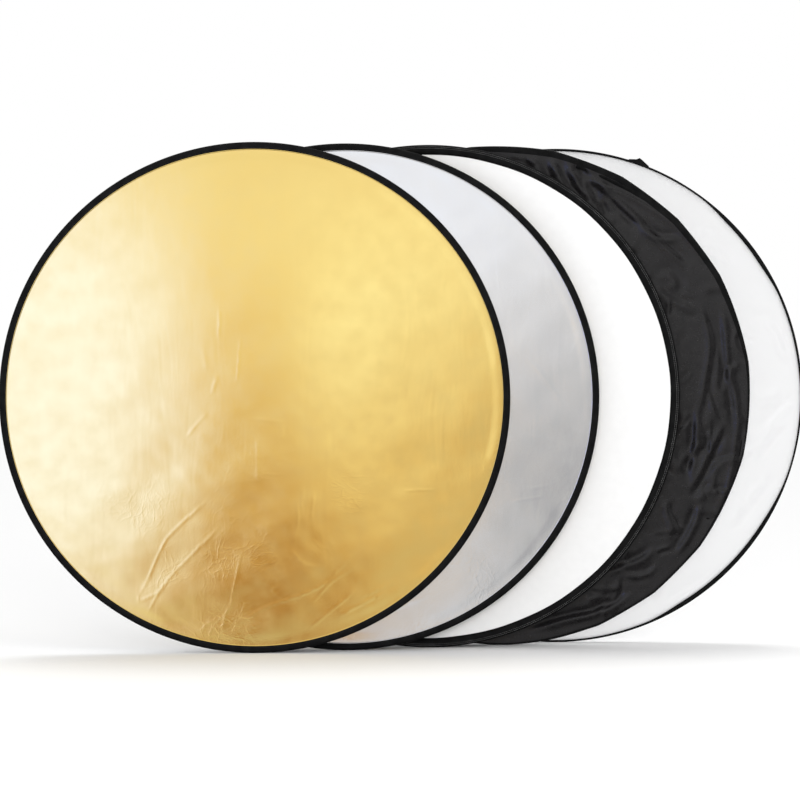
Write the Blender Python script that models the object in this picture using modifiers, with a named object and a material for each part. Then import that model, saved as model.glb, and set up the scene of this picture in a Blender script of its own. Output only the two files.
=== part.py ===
"""A five-in-one collapsible reflector of 1.10 m, shown in its five states.

Five discs stand upright on their rims, one behind another, and fan out to the right: gold, silver,
white and black, which are the reversible zip-on cover over a diffuser core, and last the bare
diffuser core. +X is right, +Y is back and +Z is up. Every front faces -Y. The origin is at floor
height, under the middle of the whole row. The gold disc and the bare diffuser are split at their
upright diameter, where they fold.
"""

import math

import bmesh
import bpy
from mathutils import Matrix

# The row of discs
DISC_RADIUS = 0.55
FAN_STEPS = (0.195, 0.180, 0.159, 0.1245)
DISC_PITCH = 0.050
FOLD_GAP = 0.0003

# Every ring is a polygon whose flat sides lie at the stated radius, one of them at the floor.
RIM_SEGMENTS = 48
FACET_ANGLE = 2 * math.pi / RIM_SEGMENTS
TO_CORNER = 1 / math.cos(FACET_ANGLE / 2)

# The cover: a binding tape folded round the rim, and a panel on each face
COVER_HALF_THICKNESS = 0.0065
BINDING_WALL = 0.0008
BINDING_DEPTH = 0.0155
BINDING_DEPTH_INSIDE_OUT = 0.0215
PANEL_RADIUS = 0.5485
PANEL_THICKNESS = 0.0005
PANEL_HEIGHT = 0.00515

# The core: a spring-steel band in a fabric casing, which holds the translucent membrane
CORE_RADIUS = 0.5488
CASING_HALF_THICKNESS = 0.0046
CASING_WALL = 0.0006
CASING_DEPTH = 0.0065
HOOP_OUTER_RADIUS = 0.5473
HOOP_THICKNESS = 0.001
HOOP_HALF_WIDTH = 0.0025
MEMBRANE_RADIUS = 0.5455
MEMBRANE_THICKNESS = 0.0006

# The crimped ferrule that joins the ends of the band
FERRULE_WALL = 0.0004
FERRULE_CLEARANCE = 0.0003
FERRULE_LENGTH = 0.032
COVERED_FERRULE_ANGLE = math.radians(202.5)
DIFFUSER_FERRULE_ANGLE = math.radians(67.5)

# The tab at the seam of the bare core's casing, where its ends overlap
TAB_START_ANGLE = math.radians(72.9)
TAB_CORNER_ANGLE = math.radians(71.25)
TAB_APEX_ANGLE = math.radians(70.6)
TAB_END_ANGLE = math.radians(68.0)
TAB_SHOULDER_HEIGHT = 0.0062
TAB_HEIGHT = 0.0115
TAB_FOOT_HEIGHT = 0.0016
TAB_HALF_THICKNESS = 0.0025

# The zip round the back of a cover, from its closed end near the top, down the left side
ZIP_START_ANGLE = math.radians(101.25)
ZIP_STEPS = 21
ZIP_GAP = 0.0003
TAPE_WIDTH = 0.009
TAPE_THICKNESS = 0.0006
TAPE_HEIGHT = 0.0057
BEAD_WIDTH = 0.0013
BEAD_HEIGHT = 0.0016

# The zip slider: its frame has X along the zip, Y outwards and Z away from the cover's back
SLIDER_REST_ANGLE = math.radians(105)
SLIDER_LENGTH = 0.016
SLIDER_HALF_WIDTH = 0.0055
SLIDER_FLANGE_WIDTH = 0.0012
SLIDER_FLANGE_DEPTH = 0.001
SLIDER_PLATE = 0.0018
BRIDGE_HALF_WIDTH = 0.0015
BRIDGE_INNER_HALF_LENGTH = 0.0039
BRIDGE_OUTER_HALF_LENGTH = 0.0055
BRIDGE_OPENING = 0.0032
BRIDGE_BAR = 0.0014

# The pull, whose crossbar lies under the slider's bridge
PULL_LENGTH = 0.028
PULL_HALF_WIDTH = 0.0036
PULL_TIP_HALF_WIDTH = 0.0026
PULL_THICKNESS = 0.0016
PULL_CROSSBAR_HALF = 0.0008
PULL_EYE_END = 0.0075
PULL_EYE_HALF_WIDTH = 0.0021

SMOOTH_LIMIT = math.radians(30)

# Surfaces: base colour, roughness, metallic
STEEL = ((0.42, 0.43, 0.45), 0.35, 1.0)
CRIMP = ((0.55, 0.53, 0.48), 0.4, 1.0)
BLACK_CLOTH = ((0.012, 0.012, 0.013), 0.75, 0.0)
BLACK_ENAMEL = ((0.02, 0.02, 0.022), 0.35, 0.6)
ZIP_CLOTH = ((0.02, 0.02, 0.022), 0.7, 0.0)
DIFFUSER_CLOTH = ((0.93, 0.93, 0.94), 0.6, 0.0)
GOLD_FOIL = ((0.83, 0.60, 0.24), 0.38, 0.6)
SILVER_FOIL = ((0.72, 0.72, 0.73), 0.36, 0.6)
WHITE_CLOTH = ((0.94, 0.94, 0.95), 0.55, 0.0)
BLACK_LINING = ((0.03, 0.028, 0.029), 0.6, 0.0)

# Covered discs: name, front surface, back surface, how far the binding reaches in
COVERED_DISCS = (
    ("gold", GOLD_FOIL, SILVER_FOIL, BINDING_DEPTH),
    ("silver", SILVER_FOIL, GOLD_FOIL, BINDING_DEPTH),
    ("white", WHITE_CLOTH, BLACK_LINING, BINDING_DEPTH_INSIDE_OUT),
    ("black", BLACK_LINING, WHITE_CLOTH, BINDING_DEPTH_INSIDE_OUT),
)


def start_scene():
    """Clears the scene and returns the collections for the parts and for the cutters."""
    for obj in list(bpy.data.objects):
        bpy.data.objects.remove(obj)
    collections = []
    for name in ("collapsible_reflector", "cutters"):
        collection = bpy.data.collections.new(name)
        bpy.context.scene.collection.children.link(collection)
        collections.append(collection)
    return collections


PARTS, CUTTERS = start_scene()


def surface(name, look):
    """A Principled material with that base colour, roughness and metallic value."""
    colour, roughness, metallic = look
    material = bpy.data.materials.new(name)
    material.use_nodes = True
    shader = material.node_tree.nodes["Principled BSDF"]
    shader.inputs["Base Color"].default_value = (*colour, 1)
    shader.inputs["Roughness"].default_value = roughness
    shader.inputs["Metallic"].default_value = metallic
    return material


def add_part(name, data, parent, look, location=(0, 0, 0), turn=(0, 0, 0)):
    """An object in the parts' collection, placed in its parent's frame, with its own material."""
    obj = bpy.data.objects.new(name, data)
    PARTS.objects.link(obj)
    obj.parent = parent
    obj.location = location
    obj.rotation_euler = turn
    data.materials.append(surface(name, look))
    return obj


def add_cutter(name, data, parent):
    """A hidden helper that shapes other objects."""
    obj = bpy.data.objects.new(name, data)
    CUTTERS.objects.link(obj)
    obj.parent = parent
    obj.hide_render = True
    obj.display_type = "WIRE"
    return obj


def add_axis(name, location, turn=(0, 0, 0), parent=None):
    """An empty that holds the pieces of one disc, or stands on the axis of a joint."""
    empty = bpy.data.objects.new(name, None)
    PARTS.objects.link(empty)
    empty.parent = parent
    empty.location = location
    empty.rotation_euler = turn
    empty.empty_display_size = 0.05
    return empty


def channel(radius, depth, half_thickness, wall):
    """The section of a tape folded round a rim: a channel that is open towards the centre."""
    inner = radius - depth
    return [
        (inner, half_thickness),
        (radius, half_thickness),
        (radius, -half_thickness),
        (inner, -half_thickness),
        (inner, wall - half_thickness),
        (radius - wall, wall - half_thickness),
        (radius - wall, half_thickness - wall),
        (inner, half_thickness - wall),
    ]


def band(outer_radius, thickness, half_width):
    """The section of a flat band bent to a hoop."""
    inner = outer_radius - thickness
    return [
        (inner, half_width),
        (outer_radius, half_width),
        (outer_radius, -half_width),
        (inner, -half_width),
    ]


def ring(name, section, parent, look, location=(0, 0, 0)):
    """A section of (radius, height) points turned round the disc's axis."""
    mesh = bpy.data.meshes.new(name)
    points = [(radius * TO_CORNER, 0, height) for radius, height in section]
    edges = [(index, (index + 1) % len(points)) for index in range(len(points))]
    mesh.from_pydata(points, edges, [])
    obj = add_part(name, mesh, parent, look, location, (0, 0, FACET_ANGLE / 2))
    screw = obj.modifiers.new("turn", "SCREW")
    screw.axis = "Z"
    screw.angle = 2 * math.pi
    screw.steps = RIM_SEGMENTS
    screw.render_steps = RIM_SEGMENTS
    screw.use_merge_vertices = True
    screw.merge_threshold = 0.00001
    screw.use_smooth_shade = False
    return obj


def flat_disc(name, radius, thickness, height, parent, look, location=(0, 0, 0)):
    """A thin round panel at that height on the disc's axis."""
    shape = bmesh.new()
    bmesh.ops.create_cone(
        shape,
        cap_ends=True,
        segments=RIM_SEGMENTS,
        radius1=radius * TO_CORNER,
        radius2=radius * TO_CORNER,
        depth=thickness,
        matrix=Matrix.Translation((0, 0, height)),
    )
    mesh = bpy.data.meshes.new(name)
    shape.to_mesh(mesh)
    shape.free()
    return add_part(name, mesh, parent, look, location, (0, 0, FACET_ANGLE / 2))


def prism(outline, half_depth):
    """A mesh of that outline in XY, pushed out by half_depth both ways along Z."""
    shape = bmesh.new()
    face = shape.faces.new([shape.verts.new((x, y, -half_depth)) for x, y in outline])
    grown = bmesh.ops.extrude_face_region(shape, geom=[face])["geom"]
    lifted = [item for item in grown if isinstance(item, bmesh.types.BMVert)]
    bmesh.ops.translate(shape, vec=(0, 0, 2 * half_depth), verts=lifted)
    bmesh.ops.recalc_face_normals(shape, faces=shape.faces)
    mesh = bpy.data.meshes.new("prism")
    shape.to_mesh(mesh)
    shape.free()
    return mesh


def flat_outline(name, outlines, half_depth):
    """A filled 2D curve of an outline and its holes, with that half thickness."""
    curve = bpy.data.curves.new(name, "CURVE")
    curve.dimensions = "2D"
    curve.fill_mode = "BOTH"
    curve.extrude = half_depth
    for outline in outlines:
        spline = curve.splines.new("POLY")
        spline.points.add(len(outline) - 1)
        for point, (x, y) in zip(spline.points, outline):
            point.co = (x, y, 0, 1)
        spline.use_cyclic_u = True
    return curve


def rectangle(low_x, low_y, high_x, high_y):
    return [(low_x, low_y), (high_x, low_y), (high_x, high_y), (low_x, high_y)]


def boolean(obj, operation, other):
    modifier = obj.modifiers.new(operation.lower(), "BOOLEAN")
    modifier.operation = operation
    modifier.object = other


def fold_cutters(name, centre):
    """Two blocks, each of which takes away one side of a disc up to half the fold's gap."""
    cutters = {}
    for side, away in (("left", 1), ("right", -1)):
        reach = away * 2 * DISC_RADIUS
        near = -away * FOLD_GAP / 2
        low, high = sorted((near, reach))
        outline = rectangle(low, -reach, high, reach) if away > 0 else rectangle(low, reach, high, -reach)
        cutters[side] = add_cutter(f"{name}_cut_for_{side}", prism(outline, 0.03), centre)
    return cutters


def ferrule(name, angle, parent):
    """A crimped sleeve round the band, at the middle of one flat side."""
    gap = FERRULE_CLEARANCE
    inner = HOOP_OUTER_RADIUS - HOOP_THICKNESS - gap
    outer = HOOP_OUTER_RADIUS + gap
    half_width = HOOP_HALF_WIDTH + gap
    wall = FERRULE_WALL
    hole = rectangle(inner, -half_width, outer, half_width)
    sleeve = rectangle(inner - wall, -half_width - wall, outer + wall, half_width + wall)
    curve = flat_outline(name, (sleeve, hole), FERRULE_LENGTH / 2)
    # The curve's X is the radius and its Y the disc's axis, so its Z runs along the rim.
    return add_part(name, curve, parent, CRIMP, turn=(math.pi / 2, 0, angle))


def core(name, centre, sides):
    """The spring-steel hoop, its casing and the membrane. sides is the fold's, or one whole ring."""
    for side, holder, offset, cutter in sides:
        end = f"_{side}" if side else ""
        hoop = band(HOOP_OUTER_RADIUS, HOOP_THICKNESS, HOOP_HALF_WIDTH)
        casing = channel(CORE_RADIUS, CASING_DEPTH, CASING_HALF_THICKNESS, CASING_WALL)
        pieces = [
            ring(f"{name}_hoop{end}", hoop, holder, STEEL, offset),
            ring(f"{name}_casing{end}", casing, holder, BLACK_CLOTH, offset),
            flat_disc(
                f"{name}_membrane{end}",
                MEMBRANE_RADIUS,
                MEMBRANE_THICKNESS,
                0,
                holder,
                DIFFUSER_CLOTH,
                offset,
            ),
        ]
        cut_all(pieces, cutter)


def cover(name, front, back, depth, sides):
    """The binding and the two panels of a cover."""
    for side, holder, offset, cutter in sides:
        end = f"_{side}" if side else ""
        binding = channel(DISC_RADIUS, depth, COVER_HALF_THICKNESS, BINDING_WALL)
        pieces = [ring(f"{name}_binding{end}", binding, holder, BLACK_CLOTH, offset)]
        for face, height, look in (("front", PANEL_HEIGHT, front), ("back", -PANEL_HEIGHT, back)):
            piece = f"{name}_{face}_panel{end}"
            pieces.append(
                flat_disc(piece, PANEL_RADIUS, PANEL_THICKNESS, height, holder, look, offset)
            )
        cut_all(pieces, cutter)


def cut_all(pieces, cutter):
    if cutter:
        for piece in pieces:
            boolean(piece, "DIFFERENCE", cutter)


def zip_tape(name, edge_radius, outwards, centre):
    """One half of the zip: a tape and the bead of its teeth, swept round the disc's axis.

    The bead's side is at edge_radius, and the tape reaches outwards (1) or inwards (-1) from it.
    """
    bead = edge_radius + outwards * BEAD_WIDTH
    far = edge_radius + outwards * TAPE_WIDTH
    section = [
        (edge_radius, TAPE_HEIGHT),
        (far, TAPE_HEIGHT),
        (far, TAPE_HEIGHT + TAPE_THICKNESS),
        (bead, TAPE_HEIGHT + TAPE_THICKNESS),
        (bead, TAPE_HEIGHT + BEAD_HEIGHT),
        (edge_radius, TAPE_HEIGHT + BEAD_HEIGHT),
    ]
    shape = bmesh.new()
    corners = [shape.verts.new((radius * TO_CORNER, 0, -height)) for radius, height in section]
    start = shape.faces.new(corners)
    bmesh.ops.spin(
        shape,
        geom=[start, *start.edges, *corners],
        axis=(0, 0, 1),
        cent=(0, 0, 0),
        angle=ZIP_STEPS * FACET_ANGLE,
        steps=ZIP_STEPS,
    )
    bmesh.ops.recalc_face_normals(shape, faces=shape.faces)
    mesh = bpy.data.meshes.new(name)
    shape.to_mesh(mesh)
    shape.free()
    return add_part(name, mesh, centre, ZIP_CLOTH, turn=(0, 0, ZIP_START_ANGLE))


def slider_body():
    """The slider's plate with a flange down each side, as a mesh along X."""
    half, flange = SLIDER_HALF_WIDTH, SLIDER_FLANGE_WIDTH
    section = [
        (-half, -SLIDER_FLANGE_DEPTH),
        (flange - half, -SLIDER_FLANGE_DEPTH),
        (flange - half, 0),
        (half - flange, 0),
        (half - flange, -SLIDER_FLANGE_DEPTH),
        (half, -SLIDER_FLANGE_DEPTH),
        (half, SLIDER_PLATE),
        (-half, SLIDER_PLATE),
    ]
    mesh = prism(section, SLIDER_LENGTH / 2)
    mesh.transform(Matrix(((0, 0, 1, 0), (1, 0, 0, 0), (0, 1, 0, 0), (0, 0, 0, 1))))
    return mesh


def slider_bridge():
    """The staple over the plate that holds the pull, as a mesh that starts inside the plate."""
    inner, outer = BRIDGE_INNER_HALF_LENGTH, BRIDGE_OUTER_HALF_LENGTH
    foot = SLIDER_PLATE / 2
    under = SLIDER_PLATE + BRIDGE_OPENING
    top = under + BRIDGE_BAR
    outline = [
        (-outer, foot),
        (-inner, foot),
        (-inner, under),
        (inner, under),
        (inner, foot),
        (outer, foot),
        (outer, top - BRIDGE_BAR / 2),
        (outer - BRIDGE_BAR / 2, top),
        (BRIDGE_BAR / 2 - outer, top),
        (-outer, top - BRIDGE_BAR / 2),
    ]
    mesh = prism(outline, BRIDGE_HALF_WIDTH)
    mesh.transform(Matrix.Rotation(math.pi / 2, 4, "X"))
    return mesh


def zip_slider(name, track_radius, centre):
    """The slider on its track, and its pull hanging along the zip from the slider's bridge."""
    height = TAPE_HEIGHT + BEAD_HEIGHT + ZIP_GAP
    angle = SLIDER_REST_ANGLE
    place = (track_radius * math.cos(angle), track_radius * math.sin(angle), -height)
    turn = (math.pi, 0, angle + math.pi / 2)
    slider = add_part(f"{name}_zip_slider", slider_body(), centre, BLACK_ENAMEL, place, turn)
    bridge = add_cutter(f"{name}_zip_bridge", slider_bridge(), centre)
    bridge.location = place
    bridge.rotation_euler = turn
    boolean(slider, "UNION", bridge)
    rise = SLIDER_PLATE + BRIDGE_OPENING / 2
    axis = add_axis(f"{name}_pull_axis", (place[0], place[1], -height - rise), turn, centre)
    body = [
        (-PULL_CROSSBAR_HALF, -PULL_HALF_WIDTH),
        (PULL_EYE_END, -PULL_HALF_WIDTH),
        (PULL_LENGTH - PULL_TIP_HALF_WIDTH, -PULL_TIP_HALF_WIDTH),
        (PULL_LENGTH, -PULL_TIP_HALF_WIDTH / 2),
        (PULL_LENGTH, PULL_TIP_HALF_WIDTH / 2),
        (PULL_LENGTH - PULL_TIP_HALF_WIDTH, PULL_TIP_HALF_WIDTH),
        (PULL_EYE_END, PULL_HALF_WIDTH),
        (-PULL_CROSSBAR_HALF, PULL_HALF_WIDTH),
    ]
    eye = rectangle(PULL_CROSSBAR_HALF, -PULL_EYE_HALF_WIDTH, PULL_EYE_END, PULL_EYE_HALF_WIDTH)
    pull = flat_outline(f"{name}_zip_pull", (body, eye), PULL_THICKNESS / 2)
    add_part(f"{name}_zip_pull", pull, axis, BLACK_ENAMEL)


def zip_of(name, binding_depth, centre):
    """The two zip tapes just inside the binding on the back, with the slider between them."""
    outer_edge = DISC_RADIUS - binding_depth - ZIP_GAP - TAPE_WIDTH
    inner_edge = outer_edge - ZIP_GAP
    zip_tape(f"{name}_zip_outer", outer_edge, 1, centre)
    zip_tape(f"{name}_zip_inner", inner_edge, -1, centre)
    zip_slider(name, (outer_edge + inner_edge) / 2, centre)


def rim_point(angle, height, corner=False):
    """A point that height outside the bare core's rim, at that angle in the disc's plane."""
    from_middle = (angle + FACET_ANGLE / 2) % FACET_ANGLE - FACET_ANGLE / 2
    stretch = TO_CORNER if corner else 1 / math.cos(from_middle)
    radius = (CORE_RADIUS + height) * stretch
    return radius * math.cos(angle), radius * math.sin(angle)


def seam_tab(name, parent, offset):
    """The peaked tab of folded casing outside the rim. Its foot follows two flat sides."""
    gap = FERRULE_CLEARANCE
    outline = [
        rim_point(TAB_END_ANGLE, gap),
        rim_point(TAB_END_ANGLE, TAB_FOOT_HEIGHT),
        rim_point(TAB_APEX_ANGLE, TAB_HEIGHT),
        rim_point(TAB_CORNER_ANGLE, TAB_SHOULDER_HEIGHT),
        rim_point(TAB_START_ANGLE, TAB_FOOT_HEIGHT),
        rim_point(TAB_START_ANGLE, gap),
        rim_point(TAB_CORNER_ANGLE, gap, corner=True),
    ]
    add_part(name, prism(outline, TAB_HALF_THICKNESS), parent, BLACK_CLOTH, offset)


def folding_sides(name, centre, fold_height):
    """Each side's name, parent, place in that parent's frame and cutter, for a disc that folds.

    The right side's parent is an empty on the fold's axis, which lies in the disc's face.
    """
    axis = add_axis(f"{name}_fold_axis", (0, 0, fold_height), parent=centre)
    cutters = fold_cutters(name, centre)
    return (
        ("left", centre, (0, 0, 0), cutters["left"]),
        ("right", axis, (0, 0, -fold_height), cutters["right"]),
    )


def disc_centres():
    """(x, y, z) of the five discs' centres, with the whole row centred over the origin."""
    spread = sum(FAN_STEPS)
    x = (DISC_RADIUS - CORE_RADIUS - spread) / 2
    y = (COVER_HALF_THICKNESS - CASING_HALF_THICKNESS - len(FAN_STEPS) * DISC_PITCH) / 2
    centres = [(x, y, DISC_RADIUS)]
    for step in FAN_STEPS:
        x += step
        y += DISC_PITCH
        centres.append((x, y, DISC_RADIUS))
    centres[-1] = (x, y, CORE_RADIUS)
    return centres


def build():
    centres = disc_centres()
    upright = (math.pi / 2, 0, 0)
    for (name, front, back, depth), place in zip(COVERED_DISCS, centres):
        centre = add_axis(f"{name}_centre", place, upright)
        if name == "gold":
            sides = folding_sides(name, centre, COVER_HALF_THICKNESS)
        else:
            sides = (("", centre, (0, 0, 0), None),)
        core(name, centre, sides)
        ferrule(f"{name}_ferrule", COVERED_FERRULE_ANGLE, centre)
        cover(name, front, back, depth, sides)
        zip_of(name, depth, centre)
    centre = add_axis("diffuser_centre", centres[-1], upright)
    sides = folding_sides("diffuser", centre, -CASING_HALF_THICKNESS)
    core("diffuser", centre, sides)
    holder, offset = sides[1][1], sides[1][2]
    joint = ferrule("diffuser_ferrule", DIFFUSER_FERRULE_ANGLE, holder)
    joint.location = offset
    seam_tab("diffuser_seam_tab", holder, offset)


build()
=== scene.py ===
"""The looks of the five-in-one reflector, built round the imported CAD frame.

Each disc is made again as cloth, tape, band, zip and stitches at the place of its CAD solids. In the
plane of a disc, u runs to the right and v runs up from its centre, and depth runs back from its middle.
"""

import math

import bmesh
import bpy
import numpy as np
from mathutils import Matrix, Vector


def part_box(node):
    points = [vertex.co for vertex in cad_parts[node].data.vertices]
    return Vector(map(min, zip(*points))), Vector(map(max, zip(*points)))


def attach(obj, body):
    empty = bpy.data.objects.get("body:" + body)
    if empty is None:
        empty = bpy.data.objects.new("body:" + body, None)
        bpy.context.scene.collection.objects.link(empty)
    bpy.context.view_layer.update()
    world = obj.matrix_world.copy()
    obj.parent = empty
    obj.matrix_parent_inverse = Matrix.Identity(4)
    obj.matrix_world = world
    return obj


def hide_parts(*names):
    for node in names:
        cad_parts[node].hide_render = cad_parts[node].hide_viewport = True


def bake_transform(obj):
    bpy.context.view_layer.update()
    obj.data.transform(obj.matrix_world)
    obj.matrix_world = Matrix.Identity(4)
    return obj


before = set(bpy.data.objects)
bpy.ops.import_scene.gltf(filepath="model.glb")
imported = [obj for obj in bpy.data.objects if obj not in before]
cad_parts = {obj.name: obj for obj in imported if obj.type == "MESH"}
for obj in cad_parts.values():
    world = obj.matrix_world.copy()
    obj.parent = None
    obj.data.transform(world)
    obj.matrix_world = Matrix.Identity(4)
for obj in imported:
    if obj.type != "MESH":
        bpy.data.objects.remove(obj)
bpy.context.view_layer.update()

# Points round a rim, and squares across a sheet of cloth
AROUND = 576
FINE_GRID = 300
PLAIN_GRID = 100

# The layers of a disc: radii from its centre, and depths from its middle
BAND_RADIUS = 0.5473
BAND_THICKNESS = 0.001
BAND_HALF_WIDTH = 0.0025
CORE_RADIUS = 0.5486
CASING_REACH = 0.0065
CASING_HALF = 0.0046
CASING_EDGE_HALF = 0.0040
CASING_THICKNESS = 0.0006
MEMBRANE_RADIUS = 0.5455
PANEL_RADIUS = 0.5468
PANEL_TUCK = 0.017
CLOTH_DEPTH = 0.0052
TAPE_THICKNESS = 0.0007
BINDING_REACH = 0.0155
WIDE_BINDING_REACH = 0.0215
EDGE_ROLL_HALF = 0.0014
EDGE_ROLL_RISE = 0.0010

# The black disc's hem: its greatest width, thickness, and rows of points across it
HEM_WIDTH = 0.0165
HEM_THICKNESS = 0.0007
HEM_ROWS = 14

# The zip on a back
ZIP_FIRST = math.radians(101.25)
ZIP_SWEEP = math.radians(157.5)
ZIP_TUCK = math.radians(2.4)
ZIP_TAPE_WIDTH = 0.009
ZIP_GAP = 0.0003
TOOTH_PITCH = 0.0021

WOVEN_PITCH = 0.0011
FOIL_ROUGHNESS = 0.17

# Brightness of the surroundings, level with the floor and straight up
HORIZON_LIGHT = 0.52
ZENITH_LIGHT = 1.10

# The reflected cards' places in front of and behind the row, and their common size
FRONT_CARD_Y = -2.6
BACK_CARD_Y = 3.0
CARD_SIZE = {"width": 7.0, "low": -2.0, "high": 3.5}

FLOOR_RADIUS = 12
CAMERA_LENS = 123
CAMERA_DISTANCE = 5.98


# ---------------------------------------------------------------- the frame

def node_box(*names):
    """The lowest and highest corner of several CAD nodes together."""
    boxes = [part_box(name) for name in names]
    low = Vector([min(box[0][axis] for box in boxes) for axis in range(3)])
    high = Vector([max(box[1][axis] for box in boxes) for axis in range(3)])
    return low, high


class Disc:
    """One disc of the row: its centre, its rim's radius and half thickness, and its bodies."""

    def __init__(self, name, rim_nodes, bodies):
        low, high = node_box(*rim_nodes)
        self.name = name
        self.centre = (low + high) / 2
        self.radius = (high.z - low.z) / 2
        self.half = (high.y - low.y) / 2
        self.bodies = bodies
        self.folds = len(bodies) == 2

    def sides(self, piece):
        """The CAD nodes of that piece of the disc: one, or a left and a right one."""
        names = [f"{self.name}_{piece}_{side}" for side in ("left", "right")]
        return names if self.folds else [f"{self.name}_{piece}"]

    def attach(self, obj, slot, replaced=()):
        """obj moves with a disc of one body, and stands for those pieces' CAD nodes. On a disc that folds it
        is left unattached, where it stands.
        """
        if self.folds:
            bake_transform(obj)
        else:
            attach(obj, self.bodies[0])
        for piece in replaced:
            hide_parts(*self.sides(piece))
        return obj


GOLD = Disc("gold", ("gold_binding_left", "gold_binding_right"), ("gold_left", "gold_right"))
SILVER = Disc("silver", ("silver_binding",), ("silver_disc",))
WHITE = Disc("white", ("white_binding",), ("white_disc",))
BLACK = Disc("black", ("black_binding",), ("black_disc",))
DIFFUSER = Disc(
    "diffuser",
    ("diffuser_casing_left", "diffuser_casing_right"),
    ("diffuser_left", "diffuser_right"),
)


# ---------------------------------------------------------------- relief in cloth

def smoothstep(low, high, value):
    t = np.clip((value - low) / (high - low), 0, 1)
    return t * t * (3 - 2 * t)


def waves(u, v, seed, count, wavelength, spread=math.pi, heading=0.0):
    """Soft random relief, about -1 to 1: waves of roughly that length, all round or along a heading."""
    rng = np.random.default_rng(seed)
    total = np.zeros_like(u)
    for _ in range(count):
        angle = heading + rng.uniform(-spread, spread)
        length = wavelength * rng.uniform(0.7, 1.5)
        phase = rng.uniform(0, 2 * math.pi)
        along = u * math.cos(angle) + v * math.sin(angle)
        total = total + np.sin(2 * math.pi * along / length + phase)
    return total / math.sqrt(count)


def smooth_line(points, steps=8):
    """More points, on a smooth curve through the given ones."""
    given = np.array(points, float)
    line = np.concatenate([[2 * given[0] - given[1]], given, [2 * given[-1] - given[-2]]])
    t = (np.arange(steps) / steps)[:, None]
    parts = []
    for before, start, end, after in zip(line, line[1:], line[2:], line[3:]):
        first = end - before
        second = 2 * before - 5 * start + 4 * end - after
        third = 3 * start - before - 3 * end + after
        parts.append(start + 0.5 * (first * t + second * t**2 + third * t**3))
    return np.concatenate([*parts, given[-1:]])


def nearest(u, v, line, reach):
    """The points within reach of a line: which, how far to its left, how far along, and their foot on it."""
    low, high = line.min(0) - reach, line.max(0) + reach
    near = np.flatnonzero((u > low[0]) & (u < high[0]) & (v > low[1]) & (v < high[1]))
    at = np.stack([u[near], v[near]], -1)[:, None]
    start, way = line[:-1], np.diff(line, axis=0)
    run = np.linalg.norm(way, axis=1)
    t = np.clip(((at - start) * way).sum(-1) / run**2, 0, 1)
    foot = start + t[..., None] * way
    gap = np.linalg.norm(at - foot, axis=-1)
    best = gap.argmin(1)
    row = np.arange(len(near))
    apart = at[:, 0] - foot[row, best]
    left = np.sign(way[best, 0] * apart[:, 1] - way[best, 1] * apart[:, 0])
    along = np.concatenate([[0], run.cumsum()])[best] + t[row, best] * run[best]
    keep = gap[row, best] < reach
    return near[keep], (left * gap[row, best])[keep], (along / run.sum())[keep], foot[row, best][keep]


def ridge(push, u, v, points, width, height):
    """Adds a sharp crease that fades at its ends. A negative height stands out in front."""
    near, gap, along, _ = nearest(u, v, smooth_line(points), 6 * width)
    fade = np.clip(np.minimum(along, 1 - along) / 0.2, 0, 1) ** 0.7
    push[near] += height * fade * np.exp(-np.abs(gap) / width)


def fold(push, u, v, points, width, height):
    """Adds a fold: the cloth stands back on the left of the line and out in front on its right."""
    near, gap, along, _ = nearest(u, v, smooth_line(points), 4 * width)
    fade = smoothstep(0, 0.3, np.minimum(along, 1 - along))
    t = gap / width
    push[near] += height * fade * t * np.exp(0.5 - t * t / 2)


def scattered_folds(push, u, v, seed, count, band, length, width, height, lean):
    """Adds short bent folds at random places between two radii. lean turns them off the rim's direction."""
    rng = np.random.default_rng(seed)
    for _ in range(count):
        radius, angle = rng.uniform(*band), rng.uniform(-math.pi, math.pi)
        heading = angle + math.pi / 2 + rng.normal(0, lean)
        long, bend = length * rng.uniform(0.5, 1.5), rng.normal(0, 0.6)
        points = []
        for t in (-0.5, -0.17, 0.17, 0.5):
            turned = heading + bend * t
            points.append(
                (
                    radius * math.cos(angle) + long * t * math.cos(turned),
                    radius * math.sin(angle) + long * t * math.sin(turned),
                )
            )
        deep = height * rng.uniform(0.3, 1.2) * rng.choice((-1, 1))
        fold(push, u, v, points, width * rng.uniform(0.6, 1.5), deep)


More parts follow.
